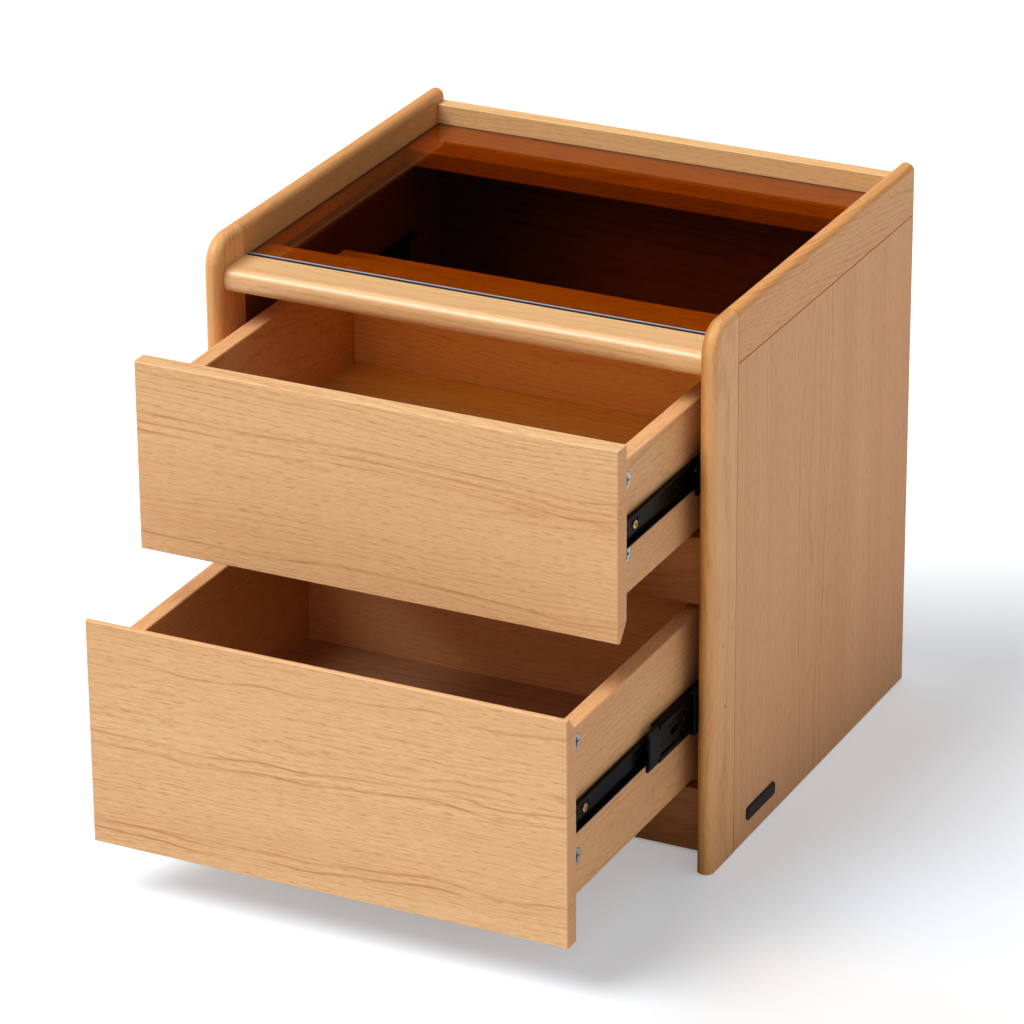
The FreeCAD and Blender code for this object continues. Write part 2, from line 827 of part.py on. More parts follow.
def cabinet_member(drawer, side_name, side, screws):
    """The outer channel, screwed to the cabinet's side through countersunk holes."""
    name = "%s_%s_cabinet_member" % (drawer.name, side_name)
    start = number(slide_front)
    level = number(drawer.slide_level)
    for step in SLIDE_SCREWS:
        where = slide_point(side, number(D["steel"]), start + step, level)
        outward = X_AXIS * -side
        screws.append(turned(flat_screw(), where, Y_AXIS, outward))
        play = 0.1
        radius = number(D["screw_radius"]) + play
        sink = Part.makeCone(radius, 3.4 + play, 1.7 + play, where - outward * 1.7, outward)
        shaft = Part.makeCylinder(radius, number(D["screw_length"]) + 1, where, -outward)
        tool = sink.fuse(shaft)
        drill([name, side_name + "_side_panel"], tool)
    height = D["cabinet_member_height"]
    points = steel_section(Size(0, "0"), D["cabinet_member_reach"], height, D["cabinet_member_lip"])
    body = channel(name, points, D["slide_length"], side, slide_front, drawer.slide_level)
    heel = lambda b: b.YLength > 100 and near(b.XMax, 0) and near(abs(b.ZMax), height / 2)
    dress(body, "Fillet", D["steel"], heel)
    finish(name, body)


def middle_member(drawer, side_name, side):
    """The middle channel, with a long hole and raised ribs near its front, and its bumper."""
    name = "%s_%s_middle_member" % (drawer.name, side_name)
    y = slide_front + D["middle_setback"] - drawer.middle_out
    level = drawer.slide_level
    start = D["middle_start"]
    depth = number(start + D["middle_recess"])
    drill([name], oval(side, depth, number(y + D["middle_oval"]), number(level), 13, 5.5, Y_AXIS))
    for step in range(3):
        slot_y = number(y + D["middle_slot"] + D["middle_slot_pitch"] * step)
        drill([name], oval(side, depth, slot_y, number(level), 8, 5, Z_AXIS))
    height = D["middle_height"]
    points = middle_section(start, D["middle_reach"], height / 2, D["middle_recess"])
    body = channel(name, points, D["middle_length"], side, y, level)
    heel = lambda b: b.YLength > 100 and near(b.XMax, -start) and near(abs(b.ZMax), height / 2)
    dress(body, "Fillet", D["steel"], heel)
    finish(name, body)
    bumper(drawer, side_name, side, y)


def bumper(drawer, side_name, side, y):
    """The plastic nose on the middle channel, with two ears that grip its web."""
    name = "%s_%s_slide_bumper" % (drawer.name, side_name)
    start = D["middle_start"]
    length = D["bumper_length"]
    half = D["middle_height"] / 2
    outer_x = -start
    inner_x = -start - D["bumper_depth"]
    waist = half - 5
    shoulder = half - 1
    points = [(outer_x, -waist), (outer_x, waist), (outer_x - 1.4, half), (inner_x, half),
              (inner_x, shoulder - 8), (inner_x + 1.6, shoulder - 10), (inner_x + 1.6, -shoulder + 10),
              (inner_x, -shoulder + 8), (inner_x, -half), (outer_x - 1.4, -half)]
    body = new_body(name + "_body")
    pad(body, "XZ_Plane", points, length, reverse=True)
    dress(body, "Chamfer", 1, lambda b: b.YMax < 1e-3 and b.ZLength > 5)
    place(body, *slide_place(side, y - length, drawer.slide_level))
    finish(name, body)


def drawer_member(drawer, side_name, side, screws, levers):
    """The inner channel on the drawer's side, with its screws and release lever."""
    name = "%s_%s_drawer_member" % (drawer.name, side_name)
    start = drawer.back_face + D["member_inset"]
    first = number(start)
    level = number(drawer.slide_level)
    web = number(D["slide_space"] - D["steel"])
    outward = X_AXIS * side
    for step in SLIDE_SCREWS:
        where = slide_point(side, web, first + step, level)
        screws.append(turned(pan_screw(), where, Y_AXIS, outward))
        radius = number(D["screw_radius"]) + 0.3
        drill([name], Part.makeCylinder(radius, 4, where + outward, -outward))
    drill([name], oval(side, web, first + number(D["front_notch"]), level + 1.6, 9, 4.4, Y_AXIS))
    drill([name], oval(side, web, first + number(D["side_slot"]), level + 2.7, 4.4, 2.8, Z_AXIS))
    drill([name], oval(side, web, first + number(D["rear_slot"]), level, 9, 4.5, Y_AXIS))
    height = D["drawer_member_height"]
    lip = D["slide_space"] - D["drawer_member_lip"]
    points = steel_section(D["slide_space"], lip, height)
    body = channel(name, points, D["slide_length"], side, start, drawer.slide_level)
    heel = lambda b: b.YLength > 100 and near(b.XMin, -D["slide_space"]) and near(abs(b.ZMax), height / 2)
    dress(body, "Fillet", D["steel"], heel)
    finish(name, body)
    levers.append(release_lever(side, first, level, web))


def release_lever(side, first, level, web):
    """The plastic lever that frees a drawer from its slide."""
    start = first + number(D["lever_start"])
    length = number(D["lever_length"])
    thick = 1.8
    tail = 5
    outline_points = [(0, -3), (length - 8, -3), (length, -tail - 4), (length, -tail + 1),
                      (length - 6, 3), (0, 3)]
    depth = web - 0.2 - thick
    corners = [slide_point(side, depth, start + y, level + z) for y, z in outline_points]
    face = Part.Face(Part.makePolygon(corners + corners[:1]))
    return face.extrude(X_AXIS * (-side * thick))


def ball_cage(drawer, kind, moved):
    """The two ball cages of one stage, left and right, each a holed strip with its balls."""
    thick = number(D["cage_thick"])
    radius = number(D["ball_radius"])
    start = number(closed_back + D[kind + "_cage_start"] - moved)
    length = number(D[kind + "_cage_length"])
    offset = number(D[kind + "_cage_offset"])
    reach = number(D[kind + "_cage_reach"])
    outer_half, inner_half = race_limits(kind)
    race = (outer_half + inner_half) / 2
    ball_depth = reach - radius - 0.1
    strip_half = race + thick / 2
    pitch = 28
    margin = 10
    shapes = []
    for side_name, side in SIDES:
        solid = cage_strip(side, offset, reach, start, length, strip_half, thick)
        level = number(drawer.slide_level)
        solid.translate(V(0, 0, level))
        steps = range(int((length - 2 * margin) // pitch) + 1)
        for step in steps:
            for up in (-1, 1):
                y = start + margin + step * pitch
                centre = slide_point(side, ball_depth, y, level + up * race)
                hole = Part.makeCylinder(radius + 0.25, 4 * thick, centre - Z_AXIS * (2 * thick), Z_AXIS)
                solid = solid.cut(hole)
                shapes.append(Part.makeSphere(radius, centre))
        shapes.append(solid)
    group("%s_%s_ball_cages" % (drawer.name, kind), shapes)


def race_limits(kind):
    """Half heights of the two steel faces that a stage's balls run between."""
    wall = D["steel"]
    if kind == "outer":
        return number(D["cabinet_member_height"] / 2 - wall), number(D["middle_height"] / 2)
    return number(D["middle_height"] / 2 - wall), number(D["drawer_member_height"] / 2)


def cage_strip(side, offset, reach, start, length, half, thick):
    """A thin U of plastic: two ball strips joined by cross bars, with open windows between."""
    low_x = min(slide_point(side, offset, 0, 0).x, slide_point(side, reach, 0, 0).x)
    whole = Part.makeBox(reach - offset, length, 2 * half, V(low_x, start, -half))
    hollow_x = low_x - 1 if side > 0 else low_x + thick
    depth = reach - offset - thick + 1
    hollow = Part.makeBox(depth, length, 2 * (half - thick), V(hollow_x, start, -half + thick))
    strip = whole.cut(hollow)
    bar = 7
    count = 4
    window = (length - bar * (count + 1)) / count
    tall = 2 * half - 9
    for step in range(count):
        y = start + bar + step * (window + bar)
        opening = Part.makeBox(reach, window, tall, V(low_x - 0.5, y, -tall / 2))
        strip = strip.cut(opening)
    return strip


def slides(drawer, cabinet_screws):
    """Both slides of one drawer."""
    drawer_screws = []
    levers = []
    for side_name, side in SIDES:
        cabinet_member(drawer, side_name, side, cabinet_screws)
        middle_member(drawer, side_name, side)
        drawer_member(drawer, side_name, side, drawer_screws, levers)
    ball_cage(drawer, "outer", drawer.middle_out / 2)
    ball_cage(drawer, "inner", (drawer.middle_out + drawer.open) / 2)
    group(drawer.piece("slide_screws"), drawer_screws)
    group(drawer.piece("release_levers"), levers)


def build():
    cabinet_screws = []
    rail_joints()
    for name in ("upper", "lower"):
        drawer = Drawer(name)
        drawer_box(drawer)
        slides(drawer, cabinet_screws)
    group("cabinet_slide_screws", cabinet_screws)
    for side_name, side in SIDES:
        side_frame(side_name, side)
    cross_boards()
    glass_top()
    badge_plate()
    doc.recompute()


def check():
    """Stop if any object failed or any sub-part has no valid solid."""
    for item in doc.Objects:
        bad = [state for state in item.State if state in ("Invalid", "Error")]
        if bad:
            raise RuntimeError("%s is %s" % (item.Label, bad))
    for name, item in parts.items():
        shape = item.Shape
        if shape.isNull() or not shape.isValid() or not shape.Solids:
            raise RuntimeError("%s has no valid solid" % name)


def write():
    os.makedirs("parts", exist_ok=True)
    for name, item in sorted(parts.items()):
        item.Shape.exportStep("parts/%s.step" % name)
        box = item.Shape.BoundBox
        print("%-34s solids %3d  volume %10.0f  z %7.1f to %7.1f"
              % (name, len(item.Shape.Solids), item.Shape.Volume, box.ZMin, box.ZMax))


build()
check()
write()
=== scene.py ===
"""The looks of a two-drawer nightstand with a glass top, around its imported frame. Lengths are in metres."""

import math
import random

import bpy
from mathutils import Matrix, Vector


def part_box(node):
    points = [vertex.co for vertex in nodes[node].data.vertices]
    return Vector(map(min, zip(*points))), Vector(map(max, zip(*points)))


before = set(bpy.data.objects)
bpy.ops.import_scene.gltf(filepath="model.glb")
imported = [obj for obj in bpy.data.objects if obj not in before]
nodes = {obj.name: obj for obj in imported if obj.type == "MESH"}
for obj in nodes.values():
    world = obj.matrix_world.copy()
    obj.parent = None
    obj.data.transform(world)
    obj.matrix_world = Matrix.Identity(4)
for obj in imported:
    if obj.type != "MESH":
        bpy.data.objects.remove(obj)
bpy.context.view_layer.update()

MM = 0.001
PHOTO_SIDE = 1024

# The camera stands in front, to the right of the object and above it.
CAMERA_PLACE = Vector((1.76657, -3.55510, 2.02036))
CAMERA_YAW = 0.459519
CAMERA_PITCH = -0.421221
CAMERA_ROLL = -0.007844
FOCAL_PIXELS = 5352.44
SENSOR_WIDTH = 36

# The soft light comes from above, the left and the front.
LIGHT_FROM = Vector((-0.40, -0.41, 0.82))
LIGHT_STRENGTH = 2.3
LIGHT_SPREAD = math.radians(36)

# The sky's strength at the horizon and overhead, for matt surfaces and for shiny ones.
SKY_LOW = 0.13
SKY_HIGH = 0.64
GLOSS_SKY_LOW = 0.003
GLOSS_SKY_HIGH = 1.2
# How high a direction points where the sky begins to brighten and where it is brightest.
SKY_RISE = (0.05, 0.75)
GLOSS_SKY_RISE = (0.5, 0.85)
# The share of the sky's strength that is left to the right, and how far right it begins and ends to weaken.
RIGHT_SKY_SHARE = 0.8
RIGHT_SKY_FALL = (0.0, 0.7)
# The share that is left of what shiny surfaces see, once it is seen through the glass.
THROUGH_GLASS_SHARE = 0.8

# The floor has a painted cool tint near the object, against the warm light bounced from the wood into its
# shade, and is plain further off. It goes over between these distances from it.
FLOOR_SIDE = 30
FLOOR_DROP = 0.2 * MM
FLOOR_FAR = (0.82, 0.82, 0.82, 1)
FLOOR_NEAR = (0.765, 0.835, 0.91, 1)
FLOOR_REACH = (0.3, 0.8)
# Where the floor lies in the sun beside the cabinet, to the right and to the front.
SUN_RIGHT = (0.2, 0.33)
SUN_FRONT = (-0.08, -0.2)
# How much the floor is lifted by a painted glow, which lightens the object's shadow more on the left than on
# the right, and where it goes over from left to right and from front to rear.
FLOOR_LIFT_LEFT = 0.36
FLOOR_LIFT_RIGHT = 0.21
FLOOR_LIFT_FRONT = 0.1
LIFT_LEFT_TO_RIGHT = (0.12, 0.33)
LIFT_FRONT_TO_REAR = (-0.3, 0.2)
# How wide the lift fades out at the cabinet's sides, under which the floor isn't lifted.
UNDER_SIDE_FADE = 10 * MM


def shown(red, green, blue):
    """The linear colour of the values from 0 to 255 that a screen shows."""
    def linear(value):
        share = value / 255
        return share / 12.92 if share <= 0.04045 else ((share + 0.055) / 1.055) ** 2.4
    return (linear(red), linear(green), linear(blue), 1)


class Graph:
    """A node tree, with one short call for each kind of node."""

    def __init__(self, tree):
        self.tree = tree

    def node(self, kind, **settings):
        made = self.tree.nodes.new(kind)
        for name, value in settings.items():
            setattr(made, name, value)
        return made

    def put(self, socket, value):
        """Links a socket to another one, or gives it a value."""
        if isinstance(value, bpy.types.NodeSocket):
            self.tree.links.new(value, socket)
        else:
            socket.default_value = value

    def math(self, operation, first, second=0.0):
        made = self.node("ShaderNodeMath", operation=operation)
        self.put(made.inputs[0], first)
        self.put(made.inputs[1], second)
        return made.outputs[0]

    def vector(self, operation, first, second=(0, 0, 0)):
        made = self.node("ShaderNodeVectorMath", operation=operation)
        self.put(made.inputs[0], first)
        self.put(made.inputs[1], second)
        return made.outputs["Value" if operation == "LENGTH" else "Vector"]

    def split(self, vector):
        made = self.node("ShaderNodeSeparateXYZ")
        self.put(made.inputs[0], vector)
        return made.outputs

    def join(self, x, y, z):
        made = self.node("ShaderNodeCombineXYZ")
        for socket, value in zip(made.inputs, (x, y, z)):
            self.put(socket, value)
        return made.outputs[0]

    def place(self):
        """The place on a node, in the frame's own coordinates."""
        return self.node("ShaderNodeTexCoord").outputs["Object"]

    def noise(self, place, stretch, detail=2.0, roughness=0.5):
        """Cloudy noise from 0 to 1. Stretch is how many times it changes in a metre, along each axis."""
        made = self.node("ShaderNodeTexNoise")
        self.put(made.inputs["Vector"], self.vector("MULTIPLY", place, stretch))
        made.inputs["Scale"].default_value = 1
        made.inputs["Detail"].default_value = detail
        made.inputs["Roughness"].default_value = roughness
        return made.outputs["Fac"]

    def spread(self, value, start, end, low=0.0, high=1.0, smooth=False):
        """The value carried from the range start to end onto low to high, and held there outside it."""
        made = self.node("ShaderNodeMapRange")
        made.interpolation_type = "SMOOTHSTEP" if smooth else "LINEAR"
        for socket, number in zip(made.inputs, (value, start, end, low, high)):
            self.put(socket, number)
        return made.outputs[0]

    def nearness(self, value, place, core, reach):
        """1 within core of a place, falling to 0 at reach from it."""
        distance = self.math("ABSOLUTE", self.math("SUBTRACT", value, place))
        return self.spread(distance, core, reach, 1.0, 0.0, smooth=True)

    def within(self, distance, limit, softness):
        """1 nearer than a limit, and 0 beyond it, with a soft step between."""
        return self.spread(distance, limit - softness, limit + softness, 1.0, 0.0)

    def rest(self, share):
        """What is left of 1 after a share."""
        return self.math("SUBTRACT", 1, share)

    def mix(self, share, first, second, blend="MIX"):
        made = self.node("ShaderNodeMix", data_type="RGBA", blend_type=blend)
        self.put(made.inputs[0], share)
        self.put(made.inputs[6], first)
        self.put(made.inputs[7], second)
        return made.outputs[2]

    def bump(self, height, distance, strength=1.0):
        made = self.node("ShaderNodeBump")
        self.put(made.inputs["Height"], height)
        made.inputs["Distance"].default_value = distance
        made.inputs["Strength"].default_value = strength
        return made.outputs["Normal"]


def new_group(name, inputs, outputs):
    """A node group with its sockets, as (graph, sockets going in, sockets going out)."""
    tree = bpy.data.node_groups.new(name, "ShaderNodeTree")
    for socket, kind in inputs:
        tree.interface.new_socket(socket, in_out="INPUT", socket_type="NodeSocket" + kind)
    for socket, kind in outputs:
        tree.interface.new_socket(socket, in_out="OUTPUT", socket_type="NodeSocket" + kind)
    graph = Graph(tree)
    entry = graph.node("NodeGroupInput")
    leave = graph.node("NodeGroupOutput")
    return graph, entry.outputs, leave.inputs


def new_material(name):
    """A material as (material, graph, its shader's sockets)."""
    material = bpy.data.materials.new(name)
    material.use_nodes = True
    graph = Graph(material.node_tree)
    shader = material.node_tree.nodes["Principled BSDF"]
    return material, graph, shader.inputs


# How often the parts of the oak's figure change in a metre: along the grain, across the board and through it.
WANDER_STRETCH = (2.4, 8, 8)
RIPPLE_STRETCH = (16, 45, 45)
STRENGTH_STRETCH = (3, 26, 26)
DASH_STRETCH = (24, 420, 420)
FIBRE_STRETCH = (16, 950, 950)
PORE_STRETCH = (95, 1500, 1500)
BAND_STRETCH = (1.6, 26, 26)
# How far the heart wanders and ripples to each side.
WANDER_REACH = 13 * MM
RIPPLE_REACH = 1.1 * MM
# How often the rings' pitch changes in one ring, and by how many rings a ring is off at most.
UNEVEN_STRETCH = (0.31, 1, 1)
UNEVEN_RINGS = 0.9


def ring_turns(graph, given, moved):
    """How many rings lie between a place and the log's heart, which wanders slowly along the board."""
    x, y, z = graph.split(given["Place"])
    wander = graph.noise(moved, WANDER_STRETCH, detail=2)
    wander = graph.spread(wander, 0.25, 0.75, -WANDER_REACH, WANDER_REACH)
    ripple = graph.noise(moved, RIPPLE_STRETCH, detail=2)
    ripple = graph.spread(ripple, 0.25, 0.75, -RIPPLE_REACH, RIPPLE_REACH)
    across = graph.math("SUBTRACT", y, given["Heart across"])
    across = graph.math("ADD", across, graph.math("MULTIPLY", x, given["Tilt"]))
    depth = graph.math("ADD", z, given["Heart depth"])
    radius = graph.vector("LENGTH", graph.join(across, depth, 0.0))
    radius = graph.math("ADD", graph.math("ADD", radius, wander), ripple)
    turns = graph.math("DIVIDE", radius, given["Ring pitch"])
    uneven = graph.noise(graph.join(turns, 0.0, 0.0), UNEVEN_STRETCH, detail=1)
    return graph.math("ADD", turns, graph.spread(uneven, 0.2, 0.8, -UNEVEN_RINGS, UNEVEN_RINGS))


def oak_figure():
    """A group that turns board space into growth rings, fibres, pores and broad bands, each from 0 to 1.

    Board space has x along the grain, y across the board and z through it.
    """
    inputs = [("Place", "Vector"), ("Seed", "Vector"), ("Heart across", "Float"), ("Heart depth", "Float"),
              ("Tilt", "Float"), ("Ring pitch", "Float")]
    outputs = [("Rings", "Float"), ("Fibres", "Float"), ("Pores", "Float"), ("Bands", "Float")]
    graph, given, leave = new_group("oak_figure", inputs, outputs)
    moved = graph.vector("ADD", given["Place"], given["Seed"])

    # Each ring darkens fast and fades slowly, is strong or weak along the board, and breaks into dashes.
    phase = graph.math("FRACT", ring_turns(graph, given, moved))
    rise = graph.spread(phase, 0.0, 0.10, 0.0, 1.0, smooth=True)
    fall = graph.spread(phase, 0.12, 0.55, 1.0, 0.0, smooth=True)
    growth = graph.math("MULTIPLY", rise, fall)
    strength = graph.noise(moved, STRENGTH_STRETCH, detail=2)
    rings = graph.math("MULTIPLY", growth, graph.spread(strength, 0.38, 0.68, 0.1, 1.0))
    dashes = graph.noise(moved, DASH_STRETCH, detail=1)
    rings = graph.math("MULTIPLY", rings, graph.spread(dashes, 0.38, 0.6, 0.3, 1.0))

    fibres = graph.noise(moved, FIBRE_STRETCH, detail=2, roughness=0.6)
    fibres = graph.spread(fibres, 0.3, 0.7)
    # Pores lie closest in the dark part of a ring.
    pores = graph.noise(moved, PORE_STRETCH, detail=1)
    pores = graph.spread(pores, 0.48, 0.64)
    pores = graph.math("MULTIPLY", pores, graph.spread(growth, 0.0, 0.6, 0.5, 1.0))
    bands = graph.noise(moved, BAND_STRETCH, detail=3, roughness=0.55)
    bands = graph.spread(bands, 0.28, 0.72)
    for socket, value in zip(leave, (rings, fibres, pores, bands)):
        graph.put(socket, value)
    return graph.tree


def board_space(graph, low, high):
    """Board space of a node's box, and the place from its centre on each axis of the frame.

    The longest side is along the grain, and the shortest is the thickness.
    """
    centre = (low + high) / 2
    sides = high - low
    axes = graph.split(graph.vector("SUBTRACT", graph.place(), centre))
    order = sorted(range(3), key=lambda axis: -sides[axis])
    return graph.join(*(axes[axis] for axis in order)), axes


def edge_share(graph, axes, low, high, reach):
    """1 along the edges of a board's box, falling to 0 at reach from them."""
    half = (high - low) / 2
    depths = [graph.math("SUBTRACT", half[axis], graph.math("ABSOLUTE", axes[axis])) for axis in range(3)]
    deepest = graph.math("MAXIMUM", graph.math("MAXIMUM", depths[0], depths[1]), depths[2])
    total = graph.math("ADD", graph.math("ADD", depths[0], depths[1]), depths[2])
    distance = graph.math("SUBTRACT", total, deepest)
    return graph.spread(distance, 0.0, reach, 1.0, 0.0, smooth=True)


# Where boards meet: the stiles' rear side, the top rails' underside and the side panels' inner face.
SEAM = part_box("left_front_stile")[1].y
RAIL_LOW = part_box("left_top_rail")[0].z
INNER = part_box("front_top_rail")[1].x

# Each wood's colours, its ring pitch in millimetres, how much its rings and pores show, and its lacquer.
WOODS = {
    "front_oak": dict(light=shown(242, 196, 142), dark=shown(208, 142, 94), pore=shown(194, 130, 82),
                      red=shown(230, 170, 120), pitch=4.2, rings=0.44, pores=0.58, roughness=0.46,
                      gloss=0.2, coat=0.0),
    "side_oak": dict(light=shown(243, 186, 133), dark=shown(208, 140, 90), pore=shown(194, 124, 76),
                     red=shown(231, 162, 112), pitch=5.0, rings=0.52, pores=0.4, roughness=0.46,
                     gloss=0.12, coat=0.0),
    "post_oak": dict(light=shown(250, 192, 126), dark=shown(216, 142, 82), pore=shown(186, 114, 60),
                     red=shown(238, 162, 102), pitch=4.4, rings=0.5, pores=0.35, roughness=0.38,
                     gloss=0.15, coat=0.12),
    "top_oak": dict(light=shown(240, 176, 110), dark=shown(206, 130, 70), pore=shown(178, 104, 50),
                    red=shown(228, 147, 85), pitch=4.4, rings=0.55, pores=0.35, roughness=0.38,
                    gloss=0.15, coat=0.12),
    "edge_oak": dict(light=shown(250, 204, 145), dark=shown(220, 158, 98), pore=shown(190, 124, 70),
                     red=shown(238, 174, 116), pitch=4.4, rings=0.42, pores=0.35, roughness=0.36,
                     gloss=0.2, coat=0.0),
    "rail_oak": dict(light=shown(216, 158, 102), dark=shown(180, 114, 64), pore=shown(154, 92, 48),
                     red=shown(200, 130, 82), pitch=4.4, rings=0.55, pores=0.45, roughness=0.42,
                     gloss=0.15, coat=0.0),
    # A darker copy of rail_oak, as painted shade for the rails under the drawers.
    "low_rail": dict(light=shown(200, 138, 84), dark=shown(166, 98, 52), pore=shown(142, 80, 40),
                     red=shown(186, 114, 68), pitch=4.4, rings=0.55, pores=0.45, roughness=0.42,
                     gloss=0.15, coat=0.0),
    "box_wood": dict(light=shown(243, 188, 132), dark=shown(206, 140, 88), pore=shown(184, 116, 70),
                     red=shown(229, 161, 108), pitch=3.6, rings=0.45, pores=0.42, roughness=0.46,
                     gloss=0.15, coat=0.0),
    "base_board": dict(light=shown(204, 154, 110), dark=shown(171, 118, 79), pore=shown(144, 92, 58),
                       red=shown(189, 131, 91), pitch=5.0, rings=0.55, pores=0.45, roughness=0.5,
                       gloss=0.15, coat=0.0),
    "back_board": dict(light=shown(172, 124, 82), dark=shown(130, 80, 44), pore=shown(108, 67, 38),
                       red=shown(150, 96, 64), pitch=7.0, rings=0.7, pores=0.4, roughness=0.5,
                       gloss=0.15, coat=0.0),
}
# Boards that differ from the rest of their slot, by the ending of their names.
KINDS = {"_front_stile": "post_oak", "left_top_rail": "top_oak", "right_top_rail": "top_oak",
         "_drawer_bottom": "base_board", "mid_front_rail": "low_rail", "bottom_front_rail": "low_rail",
         "bottom_rear_rail": "low_rail"}
# Boards with more lacquer than their wood has.
COATS = {"front_top_rail": 0.9}
COAT_ROUGHNESS = 0.28

# Boards whose inner face has painted shade, as {name ending: (share of colour kept, side of the board)}.
SHADED_INNER_FACES = {"left_side_panel": (0.3, 1), "right_side_panel": (0.3, -1),
               "_drawer_left_side": (0.8, 1), "_drawer_right_side": (0.8, -1)}
FACE_CORE = 0.3 * MM
FACE_REACH = 0.7 * MM
# Boards with painted shade to their left, as {node: (x where it begins, x where it ends, share of colour kept
# at the begin, whether only the front face is darker)}.
SHADED = {"back_panel": (-0.17, 0.0, 0.35, True), "right_front_stile": (INNER, INNER + 12 * MM, 0.6, False)}
FRONT_FACE_CORE = 0.5 * MM
FRONT_FACE_REACH = 1.0 * MM
# Painted shade darkens a colour's green and blue faster than its red.
SHADE_GREEN_POWER = 1.4
SHADE_BLUE_POWER = 2.4

# Where the heart of the log lies behind some boards: across, in depth, and its slant along the grain.
HEARTS = {
    "upper_drawer_front": (0.018, 0.014, 0.02),
    "lower_drawer_front": (0.028, 0.016, -0.02),
    "right_side_panel": (-0.025, 0.014, 0.01),
    "rear_gallery_rail": (-0.004, 0.012, 0.015),
    "right_top_rail": (0.05, 0.02, 0.2),
    "back_panel": (0.05, 0.06, 0.02),
    "upper_drawer_back": (0.0, 0.014, 0.05),
    "lower_drawer_back": (0.0, 0.016, 0.04),
}
FIGURE = oak_figure()

# Long wavy growth lines across some boards, as {node: [how far up the board from -1 to 1]}.
LONG_LINES = {
    "upper_drawer_front": [0.46, 0.36, 0.27, -0.82],
    "lower_drawer_front": [0.78, 0.1, 0.0, -0.7, -0.78],
}
LINE_BROWN = shown(196, 124, 76)
LINE_WAVER_STRETCH = (5, 1, 1)
LINE_WAVER_REACH = 11 * MM
LINE_FADE_STRETCH = (14, 60, 60)
LINE_CORE = 0.2 * MM
LINE_REACH = 1.6 * MM

# Dark glue and dust where boards meet, as {name ending: [(axis, place)]}.
SEAMS = {
    "front_stile": [(1, SEAM)],
    "side_panel": [(1, SEAM), (2, RAIL_LOW)],
    "top_rail": [(1, SEAM), (2, RAIL_LOW)],
    "front_top_rail": [(0, -INNER), (0, INNER)],
    "gallery_rail": [(0, -INNER), (0, INNER)],
    "glass_rail": [(0, -INNER), (0, INNER)],
}
GLUE_BROWN = shown(200, 118, 58)
GLUE_SHARE = 0.85
GLUE_CORE = 0.35 * MM
GLUE_REACH = 0.95 * MM

# Small knots, as {node: [(centre, half sizes in millimetres)]}.
KNOTS = {
    "right_front_stile": [((0.225, -0.0604, 0.140), (3, 1.6, 2.2)), ((0.225, -0.0664, 0.196), (3, 1.0, 2.6))],
}
KNOT_BROWN = shown(112, 66, 36)
KNOT_SHARE = 0.75

# End grain is redder, from the end of the board to END_REACH from it.
END_BROWN = shown(230, 146, 88)
END_SHARE = 0.35
END_CORE = 0.3 * MM
END_REACH = 0.9 * MM

# A painted shadow of the gap before the glass lies on the rail that the glass lies on, around the glass's
# front edge.
GAP_RAIL = "front_top_rail"
GAP_SHADOW_BROWN = shown(34, 14, 8)
GAP_PLACE = -0.2 * MM
GAP_CORE = 0.8 * MM
GAP_REACH = 1.1 * MM

# Edges are worn pale, with a painted highlight along the arrises, to this distance, in patches.
WEAR_AND_HIGHLIGHT_REACH = 2.2 * MM
WEAR_AND_HIGHLIGHT_STRETCH = (20, 20, 20)

# How deep the pores are.
GRAIN_RELIEF = 0.12 * MM


def glue_lines(graph, name):
    """A share of dark glue and dust along the seams of a board. The longest fitting name ending holds."""
    endings = [ending for ending in SEAMS if name.endswith(ending)]
    seams = SEAMS[max(endings, key=len)] if endings else []
    axes = graph.split(graph.place())
    share = 0.0
    for axis, place in seams:
        line = graph.nearness(axes[axis], place, GLUE_CORE, GLUE_REACH)
        share = graph.math("MAXIMUM", share, graph.math("MULTIPLY", line, GLUE_SHARE))
    return share


def long_lines(graph, name, place, half_width, seed):
    """A share of red-brown wood along a board's long growth lines, which waver and fade in places."""
    x, y, _ = graph.split(place)
    moved = graph.vector("ADD", graph.join(x, 0.0, 0.0), seed)
    waver = graph.noise(moved, LINE_WAVER_STRETCH, detail=2)
    waver = graph.spread(waver, 0.25, 0.75, -LINE_WAVER_REACH, LINE_WAVER_REACH)
    height = graph.math("ADD", y, waver)
    fade = graph.spread(graph.noise(place, LINE_FADE_STRETCH, detail=2), 0.35, 0.65, 0.1, 0.75)
    share = 0.0
    for level in LONG_LINES.get(name, []):
        line = graph.nearness(height, level * half_width, LINE_CORE, LINE_REACH)
        share = graph.math("MAXIMUM", share, graph.math("MULTIPLY", line, fade))
    return share


def small_knots(graph, name):
    """A share of dark wood at a board's small knots."""
    share = 0.0
    for centre, half_sizes in KNOTS.get(name, []):
        away = graph.vector("SUBTRACT", graph.place(), centre)
        scaled = graph.vector("DIVIDE", away, [half * MM for half in half_sizes])
        spot = graph.spread(graph.vector("LENGTH", scaled), 0.3, 1.2, KNOT_SHARE, 0.0, smooth=True)
        share = graph.math("MAXIMUM", share, spot)
    return share


def worn_and_highlit_edges(graph, axes, low, high):
    """A share of pale wood where the edges of a board are worn, which also stands for a painted highlight
    along the arrises.
    """
    patches = graph.spread(graph.noise(graph.place(), WEAR_AND_HIGHLIGHT_STRETCH, detail=2), 0.35, 0.7, 0.25, 0.5)
    return graph.math("MULTIPLY", edge_share(graph, axes, low, high, WEAR_AND_HIGHLIGHT_REACH), patches)


def end_grain(graph, place, low, high):
    """A share of redder wood at the two ends of a board."""
    x, _, _ = graph.split(place)
    from_end = graph.math("SUBTRACT", max(high - low) / 2, graph.math("ABSOLUTE", x))
    return graph.spread(from_end, END_CORE, END_REACH, END_SHARE, 0.0)


